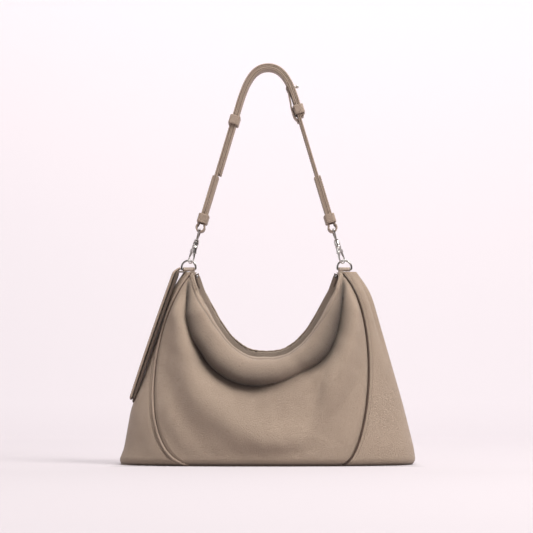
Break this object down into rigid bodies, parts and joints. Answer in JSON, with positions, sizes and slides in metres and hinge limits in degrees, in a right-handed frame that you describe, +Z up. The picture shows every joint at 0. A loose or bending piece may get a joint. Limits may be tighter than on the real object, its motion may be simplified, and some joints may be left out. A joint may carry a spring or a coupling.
{
  "type": "hobo bag",
  "caption": "Slouched leather hobo bag with a U-shaped open mouth, side gussets and a clip-on shoulder strap.",
  "frame": {"origin": "on the floor under the middle of the standing bag", "axes": "+X to the bag's right as its front is seen, +Y to its back, +Z up"},
  "size_m": [0.3852, 0.127, 0.5228],
  "materials": {
    "outer_leather": "pebbled, soft sheen",
    "strap_leather": "pebbled, soft sheen",
    "lining_cloth": "matte twill",
    "zip_tape": "matte woven",
    "board": "matte",
    "zip_coil": "polished",
    "nickel": "polished nickel",
    "steel": "satin"
  },
  "bodies": {
    "bag": {"base_panel": "outer_leather", "base_board": "board", "front_panel": "outer_leather", "back_panel": "outer_leather", "left_gusset": "outer_leather", "right_gusset": "outer_leather", "front_left_piping": "outer_leather", "front_right_piping": "outer_leather", "back_left_piping": "outer_leather", "back_right_piping": "outer_leather", "front_facing": "outer_leather", "back_facing": "outer_leather", "lining_front": "lining_cloth", "lining_back": "lining_cloth", "lining_left": "lining_cloth", "lining_right": "lining_cloth", "lining_base": "lining_cloth", "zip_tape_front": "zip_tape", "zip_tape_back": "zip_tape", "zip_coil_front": "zip_coil", "zip_coil_back": "zip_coil", "zip_tongue": "zip_tape", "left_ring_tab": "outer_leather", "right_ring_tab": "outer_leather", "left_rivet": "nickel", "right_rivet": "nickel"},
    "left_ring": {"left_ring": "nickel"},
    "right_ring": {"right_ring": "nickel"},
    "handle": {"left_swivel_eye": "nickel", "right_swivel_eye": "nickel", "left_end_loop": "strap_leather", "right_end_loop": "strap_leather", "outer_strap": "strap_leather", "inner_strap": "strap_leather", "left_lower_keeper": "strap_leather", "right_lower_keeper": "strap_leather", "right_upper_keeper": "strap_leather", "keeper_tab": "strap_leather", "strap_stud": "nickel", "stud_screw": "nickel"},
    "left_keeper": {"left_upper_keeper": "strap_leather"},
    "left_hook": {"left_hook": "nickel", "left_gate_pin": "steel", "left_gate_spring": "steel"},
    "right_hook": {"right_hook": "nickel", "right_gate_pin": "steel", "right_gate_spring": "steel"},
    "left_gate": {"left_gate": "nickel"},
    "right_gate": {"right_gate": "nickel"},
    "zip_tail": {"tail_outer_ply": "outer_leather", "tail_inner_ply": "outer_leather", "tail_zip": "zip_tape"},
    "zip_slider": {"zip_slider": "nickel"},
    "zip_pull": {"zip_pull": "nickel"}
  },
  "joints": [
    {"name": "left_ring_swing", "type": "hinge", "parent": "bag", "child": "left_ring", "pos_m": [-0.1015, 0, 0.252], "axis": [1, 0, 0], "range_deg": [-80, 80]},
    {"name": "right_ring_swing", "type": "hinge", "parent": "bag", "child": "right_ring", "pos_m": [0.1015, 0, 0.252], "axis": [1, 0, 0], "range_deg": [-80, 80]},
    {"name": "handle_swing", "type": "hinge", "parent": "left_ring", "child": "handle", "pos_m": [-0.09889, 0, 0.26332], "axis": [1, 0, 0], "range_deg": [-60, 60]},
    {"name": "left_hook_swivel", "type": "hinge", "parent": "handle", "child": "left_hook", "pos_m": [-0.09889, 0, 0.26332], "axis": [0.284, 0, 0.9588], "range_deg": [-70, 2]},
    {"name": "right_hook_swivel", "type": "hinge", "parent": "handle", "child": "right_hook", "pos_m": [0.09889, 0, 0.26332], "axis": [-0.284, 0, 0.9588], "range_deg": [-2, 70]},
    {"name": "left_gate_press", "type": "hinge", "parent": "left_hook", "child": "left_gate", "pos_m": [-0.09652, 0.00257, 0.27743], "axis": [0.7949, 0.5592, -0.2355], "range_deg": [-22, 0], "stiffness_Nm_per_rad": 0.02, "springref_deg": 17.19},
    {"name": "right_gate_press", "type": "hinge", "parent": "right_hook", "child": "right_gate", "pos_m": [0.09652, 0.00257, 0.27743], "axis": [-0.7949, 0.5592, -0.2355], "range_deg": [0, 22], "stiffness_Nm_per_rad": 0.02, "springref_deg": -17.19},
    {"name": "left_keeper_slide", "type": "slide", "parent": "handle", "child": "left_keeper", "axis": [0.284, 0, 0.9588], "range_m": [-0.06, 0.01]},
    {"name": "zip_tail_swing", "type": "hinge", "parent": "bag", "child": "zip_tail", "pos_m": [-0.1178, 0, 0.248], "axis": [0, 1, 0], "range_deg": [0, 85]},
    {"name": "zip_slider_travel", "type": "slide", "parent": "zip_tail", "child": "zip_slider", "axis": [0.32, 0, 0.9474], "range_m": [-0.02, 0.125]},
    {"name": "zip_pull_swing", "type": "hinge", "parent": "zip_slider", "child": "zip_pull", "pos_m": [-0.16437, 0.02197, 0.11009], "axis": [0.9474, 0, -0.32], "range_deg": [0, 75]}
  ],
  "couplings": [
    {"joint": "right_ring_swing", "follows": "left_ring_swing", "ratio": 1}
  ]
}
